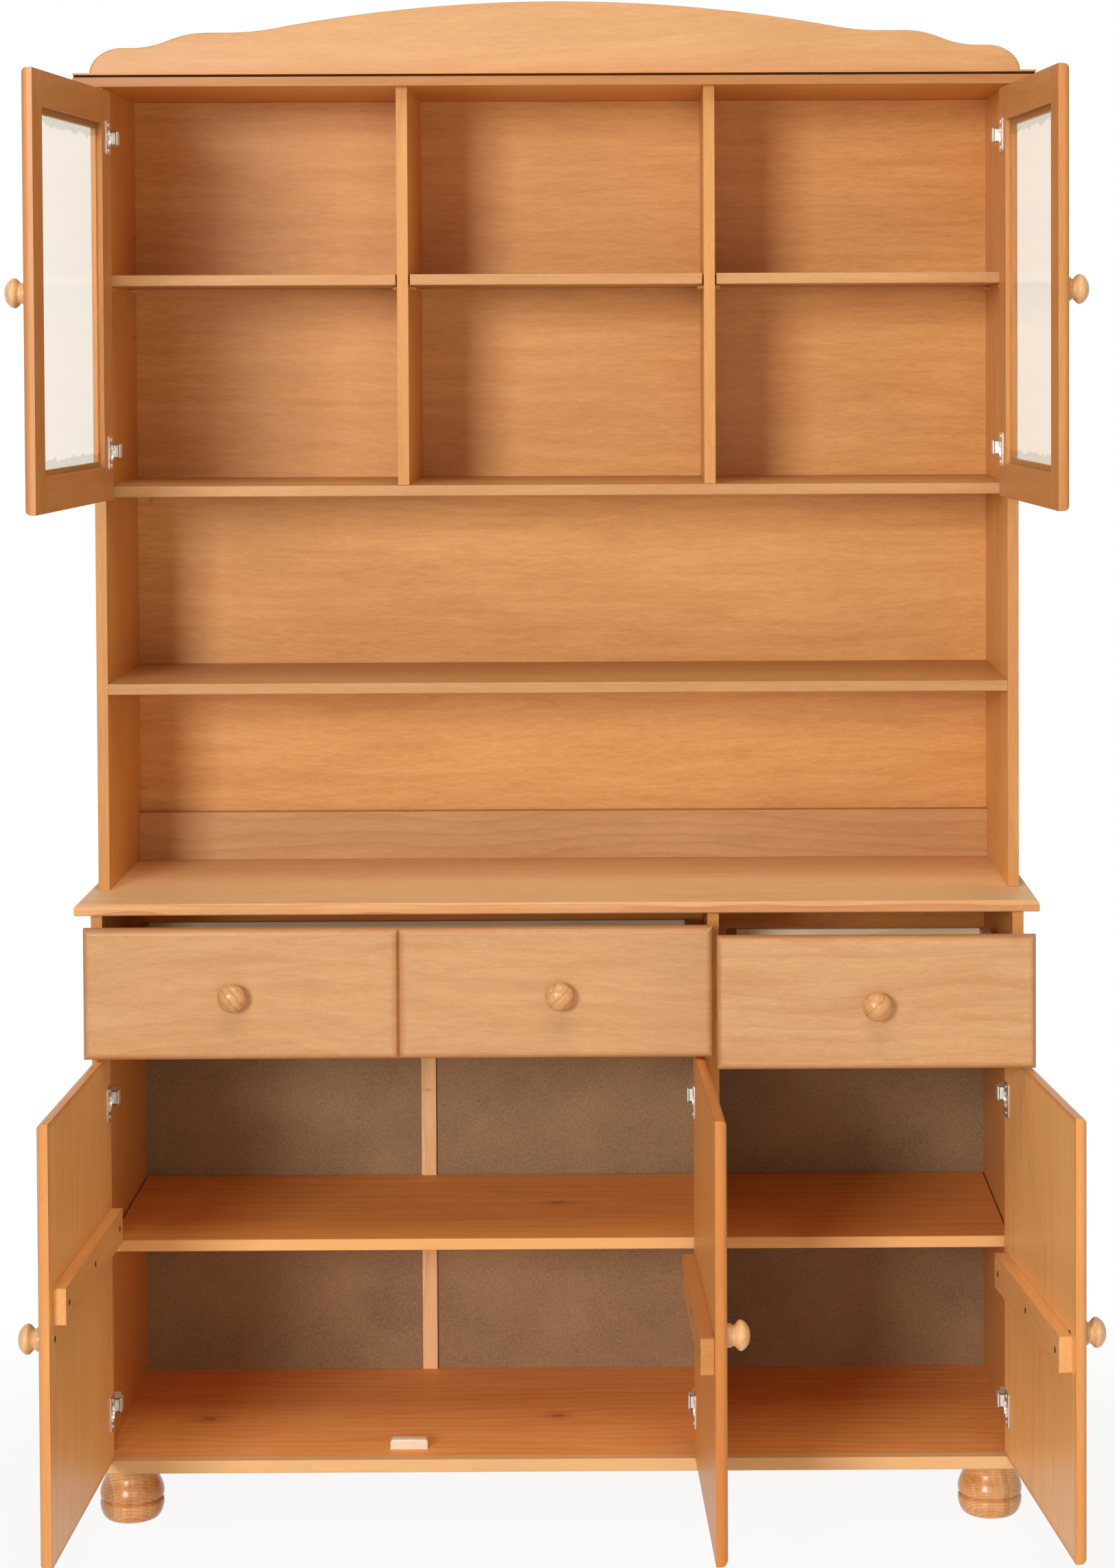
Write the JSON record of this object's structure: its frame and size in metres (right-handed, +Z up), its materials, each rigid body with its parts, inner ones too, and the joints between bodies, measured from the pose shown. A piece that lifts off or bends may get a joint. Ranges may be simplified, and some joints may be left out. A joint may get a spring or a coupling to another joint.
{
  "type": "buffet cabinet",
  "caption": "Oak-coloured buffet cabinet with drawers and cupboard doors below, a worktop, open shelves and glazed doors under a shaped pediment above.",
  "frame": {"origin": "centre of the cabinet's footprint on the floor, as it stands with its doors open and its drawers part pulled", "axes": "+Z up, +Y towards the back that stands against the wall, +X to the right seen from the front"},
  "size_m": [1.4435, 0.8664, 2.1873],
  "materials": {
    "oak_front": "satin lacquered oak veneer with rounded edges",
    "oak_carcass": "satin lacquered oak veneer",
    "oak_turned": "turned and lacquered solid wood",
    "pale_wood": "unfinished pale wood",
    "hardboard": "smooth brown hardboard",
    "glass": "clear float glass",
    "nickel": "nickel-plated pressed steel",
    "cream_plastic": "moulded cream plastic"
  },
  "bodies": {
    "root": {"base_back_left": "hardboard", "base_back_right": "hardboard", "base_shelf_left": "oak_carcass", "base_shelf_right": "oak_carcass", "base_side_left": "oak_carcass", "base_side_right": "oak_carcass", "bottom_panel": "oak_carcass", "crown_panel": "oak_front", "divider_left": "oak_carcass", "divider_right": "oak_carcass", "fixed_shelf": "oak_carcass", "foot_front_left": "oak_turned", "foot_front_right": "oak_turned", "foot_rear_left": "oak_turned", "foot_rear_right": "oak_turned", "hutch_back": "oak_carcass", "hutch_side_left": "oak_carcass", "hutch_side_right": "oak_carcass", "mid_shelf": "oak_carcass", "partition": "oak_carcass", "pediment": "oak_front", "rear_rail": "oak_carcass", "upper_shelf_centre": "oak_carcass", "upper_shelf_left": "oak_carcass", "upper_shelf_right": "oak_carcass", "worktop": "oak_front"},
    "door_left": {"door_left_batten": "oak_front", "door_left_knob": "oak_turned", "door_left_panel": "oak_front"},
    "door_middle": {"door_middle_batten": "oak_front", "door_middle_knob": "oak_turned", "door_middle_panel": "oak_front"},
    "door_right": {"door_right_batten": "oak_front", "door_right_knob": "oak_turned", "door_right_panel": "oak_front"},
    "glass_door_left": {"glass_door_left_knob": "oak_turned", "glass_door_left_pane": "glass", "glass_door_left_rail_lower": "oak_front", "glass_door_left_rail_upper": "oak_front", "glass_door_left_stile_left": "oak_front", "glass_door_left_stile_right": "oak_front"},
    "glass_door_right": {"glass_door_right_knob": "oak_turned", "glass_door_right_pane": "glass", "glass_door_right_rail_lower": "oak_front", "glass_door_right_rail_upper": "oak_front", "glass_door_right_stile_left": "oak_front", "glass_door_right_stile_right": "oak_front"},
    "drawer_left": {"drawer_left_back": "pale_wood", "drawer_left_bottom": "pale_wood", "drawer_left_front": "oak_front", "drawer_left_knob_left": "oak_turned", "drawer_left_knob_right": "oak_turned", "drawer_left_side_left": "pale_wood", "drawer_left_side_right": "pale_wood"},
    "drawer_right": {"drawer_right_back": "pale_wood", "drawer_right_bottom": "pale_wood", "drawer_right_front": "oak_front", "drawer_right_knob": "oak_turned", "drawer_right_side_left": "pale_wood", "drawer_right_side_right": "pale_wood"}
  },
  "joints": [
    {"name": "door_left_hinge", "type": "hinge", "parent": "root", "child": "door_left", "pos_m": [-0.6548, -0.0005, 0], "axis": [0, 0, -1], "range_deg": [-91.6, 4.4]},
    {"name": "door_middle_hinge", "type": "hinge", "parent": "root", "child": "door_middle", "pos_m": [0.2112, -0.0005, 0], "axis": [0, 0, 1], "range_deg": [-92.7, 3.3]},
    {"name": "door_right_hinge", "type": "hinge", "parent": "root", "child": "door_right", "pos_m": [0.6548, -0.0005, 0], "axis": [0, 0, 1], "range_deg": [-95.9, 0.1]},
    {"name": "glass_door_left_hinge", "type": "hinge", "parent": "root", "child": "glass_door_left", "pos_m": [-0.6595, 0.1005, 0], "axis": [0, 0, -1], "range_deg": [-94.2, 1.8]},
    {"name": "glass_door_right_hinge", "type": "hinge", "parent": "root", "child": "glass_door_right", "pos_m": [0.6595, 0.1005, 0], "axis": [0, 0, 1], "range_deg": [-93.9, 2.1]},
    {"name": "drawer_left_slide", "type": "slide", "parent": "root", "child": "drawer_left", "axis": [0, -1, 0], "range_m": [-0.0655, 0.1845]},
    {"name": "drawer_right_slide", "type": "slide", "parent": "root", "child": "drawer_right", "axis": [0, -1, 0], "range_m": [-0.1475, 0.1025]}
  ]
}
